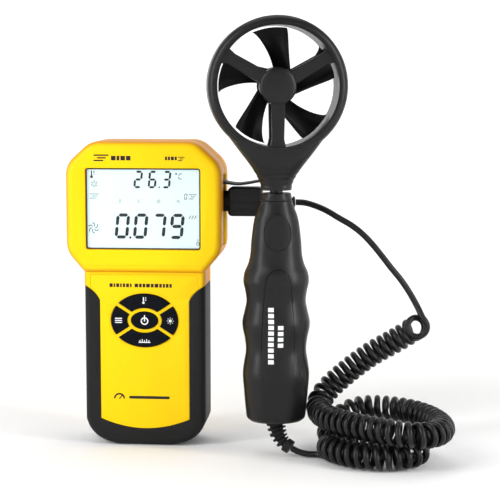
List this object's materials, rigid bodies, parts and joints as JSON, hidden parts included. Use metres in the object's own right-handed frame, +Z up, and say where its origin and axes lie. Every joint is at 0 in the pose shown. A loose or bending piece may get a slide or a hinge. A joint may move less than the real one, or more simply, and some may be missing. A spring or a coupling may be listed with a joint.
{
  "type": "weather meter",
  "caption": "Handheld air-speed meter: a boxy reading unit with display and keypad, standing upright, with a vane probe on a curly cord plugged into its side.",
  "frame": {"origin": "centre of the flat foot that the reading unit stands on", "axes": "+Z up along the reading unit, -Y out of its display, +X towards the probe"},
  "size_m": [0.2055, 0.0899, 0.2281],
  "materials": {
    "yellow_shell": "satin moulded, fine texture",
    "grip_rubber": "matte, soft touch",
    "probe_plastic": "satin black, fine spark texture",
    "rotor_plastic": "semi gloss black",
    "key_plastic": "satin with printed white symbols",
    "clear_lens": "clear polished",
    "lcd_glass": "pale blue-white backlit",
    "white_plastic": "translucent white",
    "black_plastic": "moulded black",
    "membrane_rubber": "silicone",
    "circuit_board": "green solder mask",
    "steel": "bright",
    "brass": "plated",
    "battery_wrap": "printed wrap",
    "red_wire": "PVC insulation",
    "cord_jacket": "glossy black PVC"
  },
  "bodies": {
    "meter": {"front_housing": "yellow_shell", "rear_housing": "yellow_shell", "grip_overmould": "grip_rubber", "case_screw_1": "steel", "case_screw_2": "steel", "case_screw_3": "steel", "case_screw_4": "steel", "lcd_window": "clear_lens", "lcd_panel": "lcd_glass", "lcd_backlight": "white_plastic", "lcd_holder": "black_plastic", "main_board": "circuit_board", "controller_chip": "black_plastic", "keypad_membrane": "membrane_rubber", "buzzer": "black_plastic", "battery_9v": "battery_wrap", "battery_clip": "black_plastic", "battery_lead_red": "red_wire", "battery_lead_black": "black_plastic", "port_panel": "black_plastic", "sensor_socket": "black_plastic", "power_jack": "brass", "upper_lead": "cord_jacket", "curl_rise": "cord_jacket", "curl_upper": "cord_jacket", "curl_lower": "cord_jacket", "lower_lead": "cord_jacket"},
    "key_power": {"button_power": "key_plastic"},
    "key_right": {"button_right": "key_plastic"},
    "key_top": {"button_top": "key_plastic"},
    "key_left": {"button_left": "key_plastic"},
    "key_bottom": {"button_bottom": "key_plastic"},
    "battery_cover": {"battery_door": "yellow_shell"},
    "port_flap": {"port_cover": "grip_rubber"},
    "plug": {"plug_shell": "black_plastic", "plug_sleeve": "steel", "plug_insert": "black_plastic", "plug_boot": "cord_jacket"},
    "probe": {"handle_front": "probe_plastic", "handle_rear": "probe_plastic", "thumb_pad": "grip_rubber", "grip_inlay": "probe_plastic", "handle_screw_1": "steel", "handle_screw_2": "steel", "handle_collar": "probe_plastic", "signal_board": "circuit_board", "cord_clamp": "black_plastic", "strain_relief": "cord_jacket"},
    "head": {"head_front": "probe_plastic", "head_rear": "probe_plastic", "bearing_front": "steel", "bearing_rear": "steel", "speed_pickup": "black_plastic", "swivel_stem": "probe_plastic"},
    "impeller": {"impeller_rotor": "rotor_plastic", "impeller_shaft": "steel", "rotor_magnet": "steel"}
  },
  "joints": [
    {"name": "press_power", "type": "slide", "parent": "meter", "child": "key_power", "axis": [0, 1, 0], "range_m": [0, 0.0005], "stiffness_N_per_m": 1000},
    {"name": "press_right", "type": "slide", "parent": "meter", "child": "key_right", "axis": [0, 1, 0], "range_m": [0, 0.0005], "stiffness_N_per_m": 1000},
    {"name": "press_top", "type": "slide", "parent": "meter", "child": "key_top", "axis": [0, 1, 0], "range_m": [0, 0.0005], "stiffness_N_per_m": 1000},
    {"name": "press_left", "type": "slide", "parent": "meter", "child": "key_left", "axis": [0, 1, 0], "range_m": [0, 0.0005], "stiffness_N_per_m": 1000},
    {"name": "press_bottom", "type": "slide", "parent": "meter", "child": "key_bottom", "axis": [0, 1, 0], "range_m": [0, 0.0005], "stiffness_N_per_m": 1000},
    {"name": "battery_cover_off", "type": "slide", "parent": "meter", "child": "battery_cover", "axis": [0, 1, 0], "range_m": [0, 0.03]},
    {"name": "port_flap_lift", "type": "hinge", "parent": "meter", "child": "port_flap", "pos_m": [0.0403, 0, 0.1415], "axis": [0, -1, 0], "range_deg": [0, 25]},
    {"name": "plug_pull", "type": "slide", "parent": "meter", "child": "plug", "axis": [1, 0, 0], "range_m": [0, 0.01], "deforming": ["upper_lead"]},
    {"name": "probe_lift", "type": "slide", "parent": "meter", "child": "probe", "axis": [0, 0, 1], "range_m": [0, 0.05], "deforming": ["lower_lead"]},
    {"name": "head_swivel", "type": "hinge", "parent": "probe", "child": "head", "pos_m": [0.0713, -0.03, 0.139], "axis": [0, 0, 1], "range_deg": [-90, 90]},
    {"name": "impeller_spin", "type": "hinge", "parent": "head", "child": "impeller", "pos_m": [0.0713, -0.03, 0.1925], "axis": [0.1478, -0.989, 0], "continuous": true}
  ]
}
